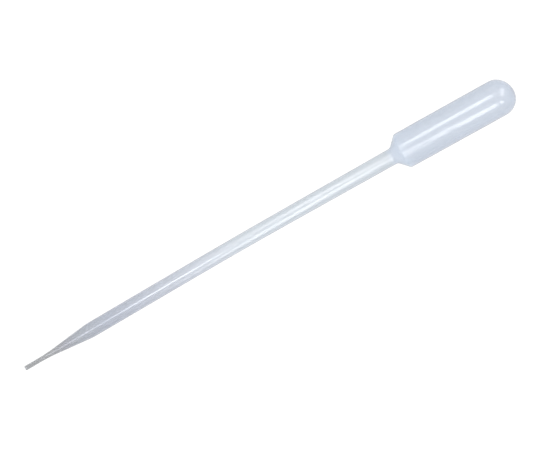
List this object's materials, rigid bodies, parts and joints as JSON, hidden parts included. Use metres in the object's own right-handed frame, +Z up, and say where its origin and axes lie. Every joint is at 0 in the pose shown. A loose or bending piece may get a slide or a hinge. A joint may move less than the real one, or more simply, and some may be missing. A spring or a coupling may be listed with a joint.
{
  "type": "plastic dropper pipette",
  "caption": "One-piece soft plastic dropper pipette: a hollow squeeze bulb, a long thin stem and a narrow open tip that draws up and drops liquid.",
  "frame": {"origin": "middle of the part's box on the surface it lies on, under the stem", "axes": "+X runs along the pipette from the open tip to the bulb, +Z is up, +Y is across it. It lies on the end of its taper and the edge of its bulb, so its own axis climbs 1.72 degrees towards the bulb"},
  "size_m": [0.15, 0.0098, 0.0106],
  "materials": {
    "plastic": "translucent milky low-density polyethylene with a faint blue cast, satin outside"
  },
  "bodies": {
    "root": {"pipette": "plastic"}
  },
  "joints": []
}
